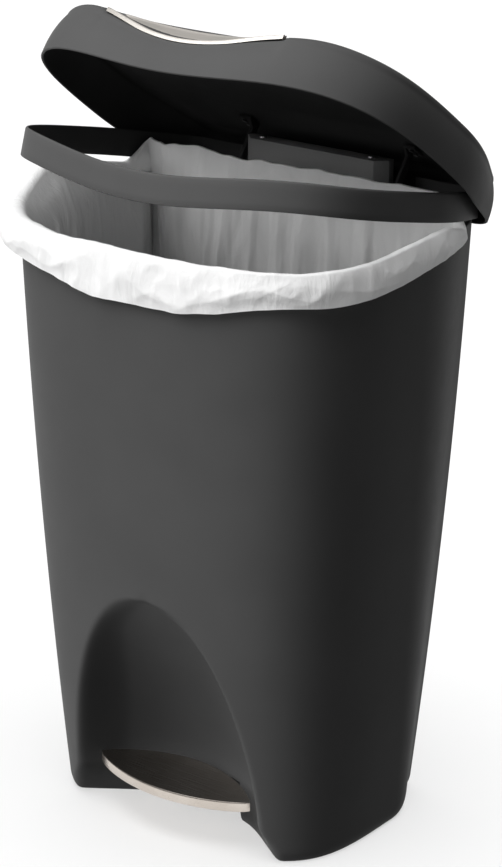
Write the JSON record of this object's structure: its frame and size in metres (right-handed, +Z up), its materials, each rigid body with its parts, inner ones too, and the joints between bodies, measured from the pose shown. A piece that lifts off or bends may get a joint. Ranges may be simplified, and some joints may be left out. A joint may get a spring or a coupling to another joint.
{
  "type": "pedal trash can",
  "caption": "Tall tapered kitchen bin with a domed lid lifted by a foot pedal, a hinged ring that clamps the bag, and a draped liner bag.",
  "frame": {"origin": "on the floor, in the left-right middle, midway between the foremost and rearmost points with the lid half open", "axes": "+Z up, -Y to the front where the pedal is, +X to the right of a person who faces the front"},
  "size_m": [0.4358, 0.3574, 0.8127],
  "materials": {
    "charcoal_plastic": "fine matt moulded texture, dark charcoal",
    "black_plastic": "matt black moulded plastic",
    "satin_nickel": "satin nickel plated, warm tint",
    "steel": "plain zinc plated steel",
    "bag_film": "thin white translucent film"
  },
  "bodies": {
    "can": {"body_shell": "charcoal_plastic", "bin_liner": "bag_film", "hinge_housing": "black_plastic", "rod_cover": "black_plastic", "cover_screw_lower": "steel", "cover_screw_upper": "steel", "rod_guide_lower": "black_plastic", "rod_guide_upper": "black_plastic", "pivot_pin": "steel", "pivot_bracket_left": "black_plastic", "pivot_bracket_right": "black_plastic", "pivot_clip_left": "steel", "pivot_clip_right": "steel", "shaft_bearing_left": "black_plastic", "shaft_bearing_right": "black_plastic", "housing_screw_left": "steel", "housing_screw_right": "steel", "bracket_screw_front_left": "steel", "bracket_screw_front_right": "steel", "bracket_screw_rear_left": "steel", "bracket_screw_rear_right": "steel"},
    "ring": {"liner_ring": "charcoal_plastic"},
    "lid": {"lid_shell": "charcoal_plastic", "lid_handle_insert": "satin_nickel", "lid_arm_left": "black_plastic", "lid_arm_right": "black_plastic", "lid_screw_front_left": "steel", "lid_screw_front_right": "steel", "lid_screw_rear_left": "steel", "lid_screw_rear_right": "steel"},
    "crank": {"hinge_shaft": "steel", "lift_crank": "steel", "lift_finger_left": "steel", "lift_finger_right": "steel"},
    "rod": {"lift_rod": "steel", "rod_lower_pin": "steel", "rod_upper_pin": "steel"},
    "pedal": {"pedal_arm": "black_plastic", "pedal_tread": "satin_nickel", "tread_screw_left": "steel", "tread_screw_right": "steel"}
  },
  "joints": [
    {"name": "ring_hinge", "type": "hinge", "parent": "can", "child": "ring", "pos_m": [0, 0.13383, 0.597], "axis": [-1, 0, 0], "range_deg": [-13.6, 6.4], "deforming": ["bin_liner"]},
    {"name": "lid_hinge", "type": "hinge", "parent": "ring", "child": "lid", "pos_m": [0, 0.13383, 0.597], "axis": [-1, 0, 0], "range_deg": [-22.5, 42.5]},
    {"name": "crank_hinge", "type": "hinge", "parent": "can", "child": "crank", "pos_m": [0, 0.13383, 0.597], "axis": [-1, 0, 0], "range_deg": [-22.5, 42.5]},
    {"name": "rod_slide", "type": "slide", "parent": "can", "child": "rod", "axis": [0, 0, 1], "range_m": [-0.01194, 0.02256]},
    {"name": "pedal_hinge", "type": "hinge", "parent": "can", "child": "pedal", "pos_m": [0, 0.00583, 0.034], "axis": [-1, 0, 0], "range_deg": [-12.93, 6.85]}
  ],
  "couplings": [
    {"joint": "crank_hinge", "follows": "lid_hinge", "ratio": 1},
    {"joint": "rod_slide", "follows": "lid_hinge", "m_per_rad": 0.0304},
    {"joint": "pedal_hinge", "follows": "lid_hinge", "ratio": -0.304}
  ]
}
